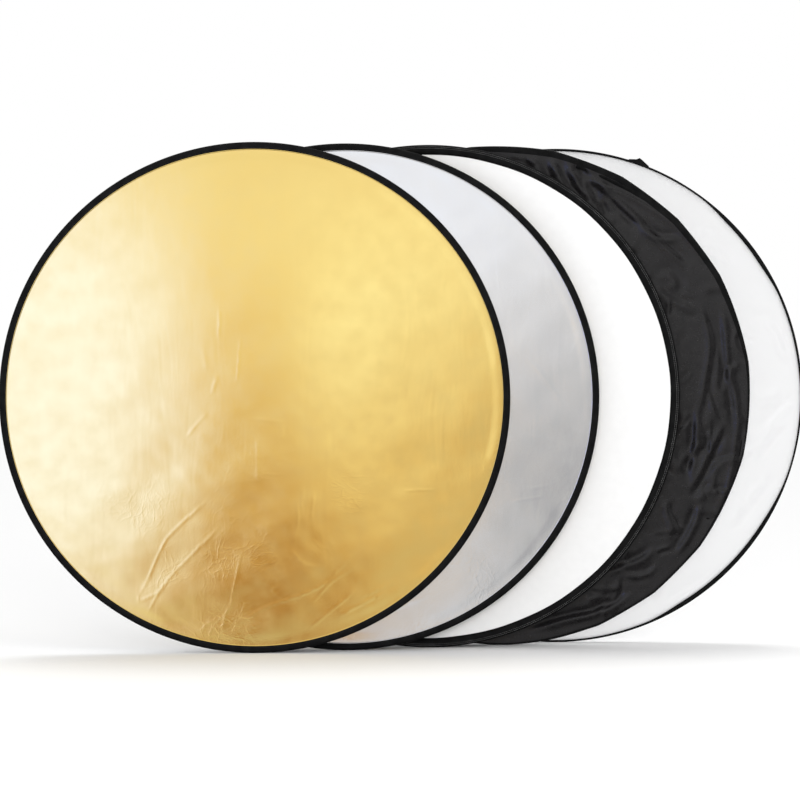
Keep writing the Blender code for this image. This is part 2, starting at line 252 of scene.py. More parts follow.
GOLD_CREASES = (
    ((-0.099, -0.218), (-0.177, -0.288), (-0.202, -0.325), (-0.235, -0.399), (-0.250, -0.424)),
    ((-0.252, -0.420), (-0.246, -0.436), (-0.194, -0.411)),
    ((-0.074, -0.276), (-0.127, -0.329), (-0.194, -0.399), (-0.235, -0.469)),
    ((-0.028, -0.329), (-0.045, -0.407), (-0.051, -0.444), (-0.065, -0.468), (-0.072, -0.514)),
    ((-0.049, -0.493), (0.021, -0.452), (0.100, -0.424), (0.150, -0.399), (0.182, -0.375)),
    ((0.117, -0.497), (0.166, -0.456), (0.216, -0.415)),
    ((0.182, -0.469), (0.286, -0.415)),
    ((-0.123, -0.509), (-0.098, -0.484), (-0.060, -0.467)),
    ((-0.048, -0.501), (-0.014, -0.496), (0.014, -0.484)),
    ((0.122, -0.443), (0.167, -0.394), (0.217, -0.360)),
    ((0.167, -0.381), (0.219, -0.330)),
    ((0.228, -0.428), (0.308, -0.394)),
    ((0.005, -0.088), (0.006, -0.140), (0.004, -0.186)),
    ((0.105, -0.195), (0.098, -0.245)),
    ((0.128, -0.205), (0.120, -0.262)),
    ((0.092, -0.223), (0.093, -0.268), (0.079, -0.317)),
    ((0.077, -0.325), (0.105, -0.357), (0.154, -0.366)),
    ((-0.006, -0.045), (0.030, -0.047), (0.066, -0.053)),
    ((0.055, -0.055), (0.061, -0.075), (0.052, -0.092)),
    ((-0.103, -0.034), (-0.128, -0.060), (-0.148, -0.088)),
    ((-0.074, 0.193), (-0.077, 0.128)),
    ((-0.030, 0.135), (-0.038, 0.029)),
    ((-0.081, 0.050), (-0.092, 0.009)),
    ((-0.110, 0.110), (-0.104, 0.060)),
    ((0.319, -0.199), (0.390, -0.197)),
)
BOLD_GOLD_CREASES = 7

SILVER_CREASES = (
    ((0.330, -0.175), (0.390, -0.196), (0.450, -0.190)),
    ((0.360, -0.225), (0.430, -0.215)),
    ((0.400, -0.080), (0.455, -0.100)),
    ((0.020, -0.490), (0.100, -0.462), (0.180, -0.430)),
    ((0.390, 0.090), (0.440, 0.030), (0.470, -0.020)),
    ((0.140, 0.400), (0.200, 0.372), (0.240, 0.345)),
)


def calm(u, v):
    """1 in the middle of a disc and 0 at its rim, where the tape holds the cloth flat."""
    return 1 - np.clip(np.hypot(u, v) / PANEL_RADIUS, 0, 1) ** 2


def gold_relief(u, v):
    """Nearly flat, with a soft warp and thin sharp creases, most of them low down."""
    push = 0.0042 * waves(u, v, 3, 4, 1.2) * calm(u, v)
    low = smoothstep(0.25, -0.35, v)
    push += 0.00020 * waves(u, v, 5, 6, 0.15) * (0.4 + low)
    push += 0.00004 * waves(u, v, 6, 8, 0.05) * (0.2 + low)
    for index, line in enumerate(GOLD_CREASES):
        ridge(push, u, v, line, 0.0015, -0.00022 if index < BOLD_GOLD_CREASES else -0.00016)
    return push


def silver_relief(u, v):
    """Nearly flat, with faint creases."""
    push = 0.0034 * waves(u, v, 11, 4, 1.1) * calm(u, v)
    push += 0.00014 * waves(u, v, 12, 6, 0.12)
    for line in SILVER_CREASES:
        ridge(push, u, v, line, 0.0018, -0.00015)
    return push


def plain_relief(u, v):
    """Taut nylon, with hardly any relief."""
    push = 0.0020 * waves(u, v, 21, 4, 0.9) * calm(u, v)
    scattered_folds(push, u, v, 23, 24, (0.15, 0.50), 0.16, 0.012, 0.00025, 0.9)
    return push + 0.00006 * waves(u, v, 22, 5, 0.10)


def black_relief(u, v):
    """Slack all over, with deep folds beside the rim and small crumples between them."""
    push = 0.0040 * waves(u, v, 31, 5, 0.55) * calm(u, v)
    push += 0.0006 * waves(u, v, 32, 7, 0.11)
    folds = (
        ((0.105, 0.513), (0.197, 0.480), (0.290, 0.443), (0.389, 0.381), (0.438, 0.322), (0.466, 0.256)),
        ((0.180, 0.505), (0.228, 0.450), (0.297, 0.385), (0.345, 0.350)),
        ((0.300, 0.400), (0.345, 0.350), (0.418, 0.285)),
        ((0.290, 0.392), (0.341, 0.355), (0.400, 0.350)),
        ((0.475, 0.219), (0.488, 0.147), (0.497, 0.059), (0.512, -0.007), (0.523, -0.110)),
        ((0.440, 0.213), (0.466, 0.125), (0.457, 0.037), (0.440, -0.050)),
        ((0.499, -0.055), (0.466, -0.127), (0.440, -0.182), (0.413, -0.221)),
        ((0.427, -0.007), (0.427, -0.094), (0.418, -0.160), (0.420, -0.204)),
        ((0.528, -0.029), (0.523, -0.116), (0.506, -0.204), (0.473, -0.270)),
        ((0.369, -0.226), (0.378, -0.270), (0.404, -0.302)),
        ((0.440, -0.226), (0.418, -0.291), (0.378, -0.357)),
        ((0.219, -0.390), (0.308, -0.357), (0.341, -0.324)),
        ((0.043, -0.522), (0.131, -0.493), (0.219, -0.471), (0.308, -0.423)),
    )
    for index, line in enumerate(folds):
        fold(push, u, v, line, 0.0070, (0.0034, -0.0030, 0.0026)[index % 3])
    for start in (0.020, 0.055, 0.095, 0.130, 0.170):
        line = ((start, 0.532), (start + 0.030, 0.470), (start + 0.075, 0.405))
        fold(push, u, v, line, 0.0085, -0.0030)
    scattered_folds(push, u, v, 33, 190, (0.38, 0.535), 0.070, 0.0065, 0.0016, 0.7)
    scattered_folds(push, u, v, 34, 90, (0.05, 0.42), 0.12, 0.012, 0.0020, 1.5)
    return push


def slack_outline(angle):
    """How far the slack cloth stands out past the rim: straight pulls between corners."""
    corners = (-192, -171, -150, -131, -112, -80, -67, -52, -37, -14, 8, 29, 45, 61, 78, 97, 118, 141)
    corners = np.radians(corners)
    turned = np.mod(angle - corners[0], 2 * math.pi) + corners[0]
    index = np.searchsorted(corners, turned, side="right") - 1
    ends = np.append(corners, corners[0] + 2 * math.pi)
    t = (turned - ends[index]) / (ends[index + 1] - ends[index])
    above_floor = 1 - smoothstep(0.90, 0.985, -np.sin(angle))
    return 0.0025 * (1 - 4 * t * (1 - t)) * above_floor


def diffuser_relief(u, v):
    """Taut at the rim, with faint slanting folds low down and on the right."""
    push = 0.0020 * waves(u, v, 41, 5, 0.5) * calm(u, v)
    lower = smoothstep(0.35, -0.25, v) * smoothstep(0.10, 0.45, np.hypot(u, v))
    push += 0.00070 * waves(u, v, 42, 5, 0.11, 0.35, -0.9) * (0.2 + lower)
    folds = (
        ((0.455, -0.085), (0.490, -0.040), (0.528, 0.000)),
        ((0.440, -0.150), (0.480, -0.090), (0.520, -0.060)),
        ((0.470, 0.180), (0.500, 0.130), (0.515, 0.080)),
        ((0.400, -0.290), (0.440, -0.230), (0.490, -0.170)),
        ((0.240, -0.470), (0.300, -0.430), (0.350, -0.400)),
        ((0.300, 0.330), (0.350, 0.320), (0.390, 0.280)),
    )
    for index, line in enumerate(folds):
        fold(push, u, v, line, 0.0085, 0.0034 if index % 2 else -0.0038)
    scattered_folds(push, u, v, 43, 70, (0.30, 0.52), 0.09, 0.010, 0.0025, 0.8)
    return push


# ---------------------------------------------------------------- shapes

def put(name, data):
    """A new object of that data in the scene."""
    obj = bpy.data.objects.new(name, data)
    bpy.context.scene.collection.objects.link(obj)
    return obj


def mesh_object(name, points, faces, smooth=True):
    """A mesh object from a numpy array of points and a list or array of faces."""
    mesh = bpy.data.meshes.new(name)
    mesh.from_pydata(np.asarray(points).tolist(), [], [list(map(int, face)) for face in faces])
    mesh.validate()
    mesh.polygons.foreach_set("use_smooth", [smooth] * len(mesh.polygons))
    return put(name, mesh)


def face_outwards(obj):
    """Turns the faces of closed pieces so that they look outwards."""
    fix = bmesh.new()
    fix.from_mesh(obj.data)
    bmesh.ops.recalc_face_normals(fix, faces=fix.faces)
    fix.to_mesh(obj.data)
    fix.free()
    return obj


def in_world(disc, u, v, depth):
    """Points of a disc's own plane as an array of world points."""
    centre = disc.centre
    return np.stack([centre.x + u, centre.y + depth, centre.z + v], -1)


def disc_grid(count, front):
    """A square grid pressed into a round one: each point's share of the radius and angle, and the faces.

    front says which way the faces look.
    """
    line = np.linspace(-1, 1, count + 1)
    across, up = (part.ravel() for part in np.meshgrid(line, line))
    wide = np.abs(across) > np.abs(up)
    share = np.where(wide, across, up)
    safe = np.where(share == 0, 1, share)
    angle = math.pi / 4 * np.where(wide, up / safe, 2 - across / safe)
    angle = np.where(share < 0, angle + math.pi, angle)
    here = (np.arange(count)[:, None] * (count + 1) + np.arange(count)).ravel()
    faces = np.stack([here, here + 1, here + count + 2, here + count + 1], -1)
    return np.abs(share), angle, faces if front else faces[:, ::-1]


def cloth(name, disc, radius, depth, held, relief, count, front=True, creases=()):
    """A round sheet of cloth that relief(u, v) moves back, except beyond the radius where it is held.

    The grid's nearest points move onto the creases, so that these stay thin and even.
    """
    share, angle, faces = disc_grid(count, front)
    u = share * radius * np.cos(angle)
    v = share * radius * np.sin(angle)
    half_out, half_along = radius / count, math.pi / 4 * radius / count
    for crease in creases:
        near, _, _, foot = nearest(u, v, smooth_line(crease), half_out)
        apart = foot - np.stack([u[near], v[near]], -1)
        turn = angle[near]
        out = np.abs(apart[:, 0] * np.cos(turn) + apart[:, 1] * np.sin(turn))
        along = np.abs(apart[:, 1] * np.cos(turn) - apart[:, 0] * np.sin(turn))
        keep = out / half_out + along / half_along < 1
        u[near[keep]], v[near[keep]] = foot[keep, 0], foot[keep, 1]
    push = relief(u, v) * smoothstep(held, held - 0.02, np.hypot(u, v))
    return mesh_object(name, in_world(disc, u, v, depth + push), faces)


def swept_ring(name, disc, section, around=AROUND, wobble=None, first=0.0, sweep=None):
    """A closed section of (radius, depth) points turned round the disc's centre.

    wobble(angle, radius, depth) returns the changed radius and depth of every point. With a sweep,
    it is an arc from the first angle, with flat ends.
    """
    steps = around if sweep is None else around + 1
    angle = (first + np.arange(steps) * (sweep or 2 * math.pi) / around)[:, None]
    radius = np.array([point[0] for point in section])[None, :] + 0 * angle
    depth = np.array([point[1] for point in section])[None, :] + 0 * angle
    if wobble:
        radius, depth = wobble(angle, radius, depth)
    points = in_world(disc, radius * np.cos(angle), radius * np.sin(angle), depth)
    size = len(section)
    column = np.arange(size)
    row = np.arange(around)[:, None]
    here = row * size + column
    beside = row * size + (column + 1) % size
    after = (row + 1) % steps * size + column
    across = (row + 1) % steps * size + (column + 1) % size
    faces = np.stack([here, beside, across, after], -1).reshape(-1, 4).tolist()
    if sweep is not None:
        faces += [list(range(size))[::-1], list(range(around * size, around * size + size))]
    return face_outwards(mesh_object(name, points.reshape(-1, 3), faces))


def folded_tape(radius, reach, half, edge_half, thickness, round_steps=8):
    """The section of a tape folded over a rim: open towards the centre, round at the rim.

    It goes along the outside from the front edge to the back edge and returns along the inside.
    """
    outside = [(radius - reach, -edge_half), (radius - 0.6 * reach, -half)]
    inside = [(radius - reach, thickness - edge_half), (radius - 0.6 * reach, thickness - half)]
    turn = min(half, 0.45 * reach)
    for step_index in range(round_steps + 1):
        angle = math.pi * step_index / round_steps - math.pi / 2
        across, along = math.cos(angle) ** 0.8, math.sin(angle)
        outside.append((radius - turn + turn * across, half * along))
        inside.append((radius - turn + (turn - thickness) * across, (half - thickness) * along))
    outside += [(radius - 0.6 * reach, half), (radius - reach, edge_half)]
    inside += [(radius - 0.6 * reach, half - thickness), (radius - reach, edge_half - thickness)]
    return outside + inside[::-1]


def rounded_band(outer, thickness, half, bevel=0.00025):
    """The section of a flat band with broken edges, centred on the disc's middle."""
    inner = outer - thickness
    front = [(inner, bevel - half), (inner + bevel, -half), (outer - bevel, -half), (outer, bevel - half)]
    return front + [(radius, -depth) for radius, depth in front[::-1]]


def prisms_along(name, disc, outline, places, low, high, taper):
    """Many small tapered prisms on a disc's back, such as teeth, as one mesh.

    outline holds (outwards, along) points, and places holds (radius, angle, sign of outwards).
    """
    size = len(outline)
    points, faces = [], []
    for radius, angle, sign in places:
        base = len(points)
        for depth, scale in ((low, 1.0), (high, taper)):
            for outwards, along in outline:
                r = radius + sign * outwards * scale
                a = angle + along * scale / radius
                points.append((r * math.cos(a), depth, r * math.sin(a)))
        faces.append([base + index for index in range(size)][::-1])
        faces.append([base + size + index for index in range(size)])
        for index in range(size):
            after = (index + 1) % size
            faces.append((base + index, base + after, base + size + after, base + size + index))
    points = np.array(points) + np.array(disc.centre)
    return face_outwards(mesh_object(name, points, faces, smooth=False))


def stitch_row(name, disc, radius, depth, pitch, length, thickness, first=0.0, sweep=2 * math.pi):
    """A row of thread stitches along a circle, each a low bent bar whose ends dip into the tape."""
    count = int(round(radius * sweep / pitch))
    profile = ((-0.5, -0.2), (-0.38, 0.35), (-0.15, 0.5), (0.15, 0.5), (0.38, 0.35), (0.5, -0.2))
    outward = 1 if depth > 0 else -1
    points, faces = [], []
    for index in range(count):
        middle = first + sweep * (index + 0.5) / count
        base = len(points)
        for along, lift in profile:
            for side in range(4):
                around = math.pi / 2 * side + math.pi / 4
                r = radius + thickness * 0.6 * math.cos(around)
                y = depth + outward * thickness * (lift + 0.5 * math.sin(around))
                a = middle + along * length / radius
                points.append((r * math.cos(a), y, r * math.sin(a)))
        for ring in range(len(profile) - 1):
            for side in range(4):
                p, q = base + ring * 4 + side, base + ring * 4 + (side + 1) % 4
                faces.append((p, q, q + 4, p + 4))
        faces.append((base + 3, base + 2, base + 1, base))
        last = base + 4 * (len(profile) - 1)
        faces.append((last, last + 1, last + 2, last + 3))
    points = np.array(points) + np.array(disc.centre)
    return face_outwards(mesh_object(name, points, faces))


# ---------------------------------------------------------------- materials

class Surface:
    """A Principled material and short calls that build its nodes."""

    def __init__(self, name, colour, roughness, metallic=0.0):
        self.material = bpy.data.materials.new(name)
        self.material.use_nodes = True
        self.tree = self.material.node_tree
        self.shader = self.tree.nodes["Principled BSDF"]
        self.set("Base Color", (*colour, 1))
        self.set("Roughness", roughness)
        self.set("Metallic", metallic)
        self.normal = None

    def set(self, socket, value):
        self.shader.inputs[socket].default_value = value

    def feed(self, value, socket):
        """Links an output to the socket, or sets the socket to a value."""
        if isinstance(value, bpy.types.NodeSocket):
            self.tree.links.new(value, socket)
        else:
            socket.default_value = value

    def node(self, kind, **inputs):
        """A node of that kind, with its inputs set to values or linked to outputs."""
        made = self.tree.nodes.new(kind)
        for key, value in inputs.items():
            self.feed(value, made.inputs[key.replace("_", " ")])
        return made

    def link(self, output, socket):
        self.tree.links.new(output, self.shader.inputs[socket])

    def place(self):
        """The point on the piece, in metres from the origin, with the piece at rest."""
        return self.node("ShaderNodeTexCoord").outputs["Object"]

    def noise(self, scale, detail=3.0, stretch=(1, 1, 1), distortion=0.0):
        at = self.place()
        if stretch != (1, 1, 1):
            mapping = self.node("ShaderNodeMapping", Vector=at)
            mapping.inputs["Scale"].default_value = stretch
            at = mapping.outputs["Vector"]
        made = self.node("ShaderNodeTexNoise", Vector=at, Scale=scale, Detail=detail)
        made.inputs["Distortion"].default_value = distortion
        return made.outputs["Fac"]

    def ramp(self, value, stops):
        """A colour ramp: stops are (position, colour or grey)."""
        made = self.node("ShaderNodeValToRGB", Fac=value)
        band = made.color_ramp
        while len(band.elements) < len(stops):
            band.elements.new(0.5)
        for element, (position, colour) in zip(band.elements, stops):
            element.position = position
            grey = isinstance(colour, (int, float))
            element.color = (colour, colour, colour, 1) if grey else (*colour, 1)
        return made.outputs["Color"]

    def math(self, operation, first, second=0.5):
        made = self.tree.nodes.new("ShaderNodeMath")
        made.operation = operation
        for socket, value in zip(made.inputs, (first, second)):
            self.feed(value, socket)
        return made.outputs["Value"]

    def total(self, first, *others):
        for other in others:
            first = self.math("ADD", first, other)
        return first

    def product(self, first, *others):
        for other in others:
            first = self.math("MULTIPLY", first, other)
        return first

    def step(self, value, low, high):
        """0 below low and 1 above high, smooth between. low may be the greater one."""
        made = self.tree.nodes.new("ShaderNodeMapRange")
        made.interpolation_type = "SMOOTHSTEP"
        self.tree.links.new(value, made.inputs["Value"])
        made.inputs["From Min"].default_value = low
        made.inputs["From Max"].default_value = high
        return made.outputs["Result"]

    def weave(self, pitch):
        """Over-and-under threads at that pitch across and up the disc, 0 to 1."""
        parts = self.node("ShaderNodeSeparateXYZ", Vector=self.place())
        turns = 2 * math.pi / pitch
        first = self.math("SINE", self.math("MULTIPLY", parts.outputs[0], turns))
        second = self.math("SINE", self.math("MULTIPLY", parts.outputs[2], turns))
        both = self.math("MULTIPLY", first, second)
        return self.math("ADD", self.math("MULTIPLY", both, 0.5), 0.5)

    def crumple(self, scale, width):
        """A network of fine sharp creases, in patches and mostly low down, 0 to 1."""
        drift = self.node("ShaderNodeTexNoise", Vector=self.place(), Scale=9.0, Detail=3.0)
        moved = self.tree.nodes.new("ShaderNodeVectorMath")
        moved.operation = "MULTIPLY_ADD"
        self.tree.links.new(drift.outputs["Color"], moved.inputs[0])
        moved.inputs[1].default_value = (0.09, 0.09, 0.09)
        self.tree.links.new(self.place(), moved.inputs[2])
        cells = self.tree.nodes.new("ShaderNodeTexVoronoi")
        cells.feature = "DISTANCE_TO_EDGE"
        cells.inputs["Scale"].default_value = scale
        self.tree.links.new(moved.outputs[0], cells.inputs["Vector"])
        line = self.step(cells.outputs["Distance"], width, 0.0)
        height = self.node("ShaderNodeSeparateXYZ", Vector=self.place()).outputs[2]
        low = self.total(self.product(self.step(height, 0.62, 0.10), 0.75), 0.12)
        return self.product(line, self.step(self.noise(5.5, 3.0), 0.46, 0.62), low)

    def bump(self, height, strength, distance):
        """Adds a bump on top of those before it."""
        made = self.node("ShaderNodeBump", Height=height, Strength=strength, Distance=distance)
        if self.normal is not None:
            self.tree.links.new(self.normal, made.inputs["Normal"])
        self.normal = made.outputs["Normal"]
        self.link(self.normal, "Normal")


def foil(name, bright, deep, variant):
    """Metallic foil laminated on cloth: satin, finely crumpled, with a faint weave showing through."""
    made = Surface(name, bright, FOIL_ROUGHNESS, 1.0)
    tint = made.noise(3.1 + variant, 4.0)
    made.link(made.ramp(tint, ((0.3, deep), (0.7, bright))), "Base Color")
    shine = ((0.3, FOIL_ROUGHNESS - 0.03), (0.75, FOIL_ROUGHNESS + 0.05))
    made.link(made.ramp(made.noise(26.0, 5.0), shine), "Roughness")
    made.bump(made.noise(34.0 + variant, 6.0, distortion=0.6), 0.06, 0.0010)
    made.bump(made.noise(5.0, 7.0, stretch=(5, 1, 1.1), distortion=1.2), 0.10, 0.0014)
    made.bump(made.crumple(34.0, 0.09), 0.12, 0.0005)
    made.bump(made.crumple(75.0, 0.12), 0.15, 0.0003)
    made.bump(made.weave(WOVEN_PITCH), 0.08, 0.0001)
    return made.material


def woven(name, colour, light, roughness, pitch, strength, gloss):
    """Plain woven cloth or tape in two close shades."""
    made = Surface(name, colour, roughness)
    made.link(made.ramp(made.noise(60.0, 5.0), ((0.35, colour), (0.7, light))), "Base Color")
    rough = made.ramp(made.noise(120.0, 3.0), ((0.3, roughness - 0.1), (0.7, roughness + 0.08)))
    made.link(rough, "Roughness")
    made.set("Specular IOR Level", gloss)
    made.bump(made.weave(pitch), strength, 0.0002)
    return made.material


def translucent(name, colour, share):
    """Thin white nylon that lets part of the light through."""
    made = Surface(name, colour, 0.5)
    duller = [0.97 * c for c in colour]
    made.link(made.ramp(made.noise(9.0, 5.0), ((0.3, duller), (0.7, colour))), "Base Color")
    made.link(made.ramp(made.noise(40.0, 4.0), ((0.3, 0.42), (0.7, 0.58))), "Roughness")
    made.bump(made.weave(0.0009), 0.15, 0.0001)
    through = made.node("ShaderNodeBsdfTranslucent", Color=(*colour, 1))
    mixed = made.node("ShaderNodeMixShader")
    mixed.inputs[0].default_value = share
    made.tree.links.new(made.shader.outputs[0], mixed.inputs[1])
    made.tree.links.new(through.outputs[0], mixed.inputs[2])
    made.tree.links.new(mixed.outputs[0], made.tree.nodes["Material Output"].inputs["Surface"])
    return made.material


def metal(name, colour, roughness, metallic, brushed):
    """Metal with fine scratches and patches of wear."""
    made = Surface(name, colour, roughness, metallic)
    lighter = [min(1, 1.5 * c + 0.02) for c in colour]
    made.link(made.ramp(made.noise(90.0, 6.0), ((0.45, colour), (0.8, lighter))), "Base Color")
    rough = ((0.3, roughness - 0.1), (0.7, roughness + 0.12))
    made.link(made.ramp(made.noise(400.0, 3.0), rough), "Roughness")
    made.bump(made.noise(300.0, 2.0, stretch=brushed), 0.1, 0.0002)
    return made.material


GOLD_FOIL = foil("gold_foil", (0.93, 0.70, 0.24), (0.90, 0.65, 0.205), 0)
SILVER_FOIL = foil("silver_foil", (0.87, 0.87, 0.88), (0.83, 0.83, 0.84), 1)
WHITE_NYLON = woven("white_nylon", (0.80, 0.80, 0.80), (0.82, 0.82, 0.82), 0.5, 0.0009, 0.15, 0.3)
BLACK_NYLON = woven("black_nylon", (0.0085, 0.0078, 0.0082), (0.012, 0.011, 0.0115), 0.33, 0.0009, 0.1, 0.38)
TAPE = woven("binding_tape", (0.004, 0.004, 0.004), (0.008, 0.008, 0.008), 0.6, 0.0014, 0.8, 0.08)
CASING = woven("casing_tape", (0.004, 0.004, 0.004), (0.008, 0.008, 0.008), 0.55, 0.0011, 0.5, 0.08)
ZIP_TAPE = woven("zip_tape", (0.010, 0.010, 0.011), (0.020, 0.020, 0.022), 0.62, 0.0012, 0.7, 0.2)
DIFFUSER_CLOTH = translucent("diffuser_nylon", (0.96, 0.96, 0.965), 0.7)
BLACK_THREAD = woven("black_thread", (0.02, 0.02, 0.02), (0.04, 0.04, 0.04), 0.6, 0.0006, 0.5, 0.3)
GREY_THREAD = woven("grey_thread", (0.15, 0.15, 0.15), (0.26, 0.26, 0.26), 0.6, 0.0006, 0.5, 0.2)
STEEL = metal("spring_steel", (0.42, 0.43, 0.45), 0.35, 1.0, (1, 20, 1))
CRIMP = metal("crimp_metal", (0.55, 0.53, 0.48), 0.4, 1.0, (1, 20, 1))
ENAMEL = metal("zip_enamel", (0.02, 0.02, 0.022), 0.35, 0.5, (1, 1, 1))
TEETH = metal("zip_teeth", (0.035, 0.035, 0.037), 0.4, 0.0, (1, 1, 1))


def paint(obj, material):
    obj.data.materials.clear()
    obj.data.materials.append(material)
    return obj


# ---------------------------------------------------------------- pieces of a disc

def make_core(disc, core_radius, wobble=None):
    """The steel band and its casing."""
    band = rounded_band(BAND_RADIUS, BAND_THICKNESS, BAND_HALF_WIDTH)
    hoop = swept_ring(f"{disc.name}_steel_band", disc, band)
    disc.attach(paint(hoop, STEEL), "spring_steel", ["hoop"])
    sizes = (CASING_REACH, CASING_HALF, CASING_EDGE_HALF, CASING_THICKNESS)
    section = folded_tape(core_radius, *sizes)
    casing = swept_ring(f"{disc.name}_band_casing", disc, section, wobble=wobble)
    disc.attach(paint(casing, CASING), "casing_tape", ["casing"])
    paint(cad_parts[f"{disc.name}_ferrule"], CRIMP)


def make_membrane(disc, relief, count):
    name = f"{disc.name}_membrane_cloth"
    held = MEMBRANE_RADIUS - 0.002
    sheet = cloth(name, disc, MEMBRANE_RADIUS, 0.0, held, relief, count)
    disc.attach(paint(sheet, DIFFUSER_CLOTH), "diffuser_nylon", ["membrane"])


def make_binding(disc, reach, thread, rows, under=0.0):
    """The folded tape round the rim, and its rows of stitches on both faces.

    under is how far it lies inside the rim, below other cloth.
    """
    half = disc.half - under / 3
    section = folded_tape(disc.radius - under, reach - under, half, half - 0.0006, TAPE_THICKNESS)

    def uneven(angle, radius, depth):
        depth_in = (disc.radius - radius) / reach
        drift = 0.0005 * np.sin(7 * angle + 1.3) + 0.0003 * np.sin(23 * angle)
        return radius + depth_in * drift, depth

    binding = swept_ring(f"{disc.name}_binding_tape", disc, section, wobble=uneven)
    disc.attach(paint(binding, TAPE), "binding_tape", ["binding"])
    for index, inset in enumerate(rows):
        for face, side in (("front", -1), ("back", 1)):
            if under and face == "front":
                continue
            name = f"{disc.name}_stitches_{face}_{index + 1}"
            at = side * (half - 0.0002)
            row = stitch_row(name, disc, disc.radius - inset, at, 0.0042, 0.0030, 0.0005)
            disc.attach(paint(row, thread), "binding_tape")


def make_panel(disc, face, material, slot, relief, count, creases=()):
    name = f"{disc.name}_{face}_cloth"
    held = PANEL_RADIUS - PANEL_TUCK
    front = face == "front"
    depth = -CLOTH_DEPTH if front else CLOTH_DEPTH
    sheet = cloth(name, disc, PANEL_RADIUS, depth, held, relief, count, front, creases)
    disc.attach(paint(sheet, material), slot, [f"{face}_panel"])


def make_edge_roll(disc, face, material, slot):
    """The foil turns up in a narrow roll against the edge of the binding."""
    side = -1 if face == "front" else 1
    middle = disc.radius - BINDING_REACH - 0.0004
    section = [(middle - EDGE_ROLL_HALF, side * (CLOTH_DEPTH - 0.0002))]
    for turn in (0.2, 0.5, 0.8):
        rise = EDGE_ROLL_RISE * math.sin(math.pi * turn)
        section.append((middle + EDGE_ROLL_HALF * (2 * turn - 1), side * (CLOTH_DEPTH + rise)))
    section.append((middle + EDGE_ROLL_HALF, side * (CLOTH_DEPTH - 0.0002)))
    roll = swept_ring(f"{disc.name}_{face}_edge_roll", disc, section)
    disc.attach(paint(roll, material), slot)


def make_slack_panel(disc, material, slot, relief):
    """Loose cloth in front of the disc that goes over its rim, with an uneven outline.

    Returns how to lay more points on it, and how far along its section the rim's front corner is.
    """
    front = ((0.0000, -0.0072), (0.5300, -0.0072), (0.5375, -0.0077), (0.5435, -0.0079), (0.5475, -0.0071))
    rim = ((0.5495, -0.0050), (0.5500, -0.0018), (0.5499, 0.0015), (0.5490, 0.0042), (0.5472, 0.0056))
    section = np.array(front + rim)
    runs = np.linalg.norm(np.diff(section, axis=0), axis=1)
    length = np.concatenate([[0], runs.cumsum()])
    share, angle, faces = disc_grid(FINE_GRID, True)
    share = share + 0.1 * np.sin(math.pi * share)

    def laid(along, angle, proud):
        """The points that far along the section, proud of the cloth by so much."""
        radius = np.interp(along, length, section[:, 0])
        depth = np.interp(along, length, section[:, 1])
        radius = radius + smoothstep(0.44, 0.545, radius) * slack_outline(angle)
        u, v = radius * np.cos(angle), radius * np.sin(angle)
        push = relief(u, v) * smoothstep(0.002, -0.0068, depth)
        return in_world(disc, u, v, depth + push - proud)

    sheet = mesh_object(f"{disc.name}_front_cloth", laid(share * length[-1], angle, 0), faces)
    disc.attach(paint(sheet, material), slot, ["front_panel"])
    return laid, length[len(front)]


def make_hem(disc, laid, rim):
    """The binding that the loose cloth pulls over its rim: widest at the upper right.

    laid and rim come from make_slack_panel.
    """
    around = np.arange(AROUND) * 2 * math.pi / AROUND
    upper_right = smoothstep(0.0, 0.55, around) * smoothstep(2.0, 1.35, around)
    width = HEM_WIDTH * (0.35 + 0.65 * upper_right) + 0.0010 * np.sin(9 * around)
    across = np.linspace(0, 1, HEM_ROWS)
    proud = HEM_THICKNESS * np.sin(math.pi * np.clip(across, 0.04, 0.96)) ** 0.3
    proud[[0, -1]] = -HEM_THICKNESS / 2
    along = rim - width[:, None] * (1 - across)
    points = laid(along.ravel(), np.repeat(around, HEM_ROWS), np.tile(proud, AROUND))
    step = np.arange(AROUND)[:, None]
    here = (step * HEM_ROWS + np.arange(HEM_ROWS - 1)).ravel()
    after = ((step + 1) % AROUND * HEM_ROWS + np.arange(HEM_ROWS - 1)).ravel()
    faces = np.stack([here, here + 1, after + 1, after], -1)
    hem = mesh_object(f"{disc.name}_front_hem", points, faces)
    disc.attach(paint(hem, TAPE), "binding_tape")


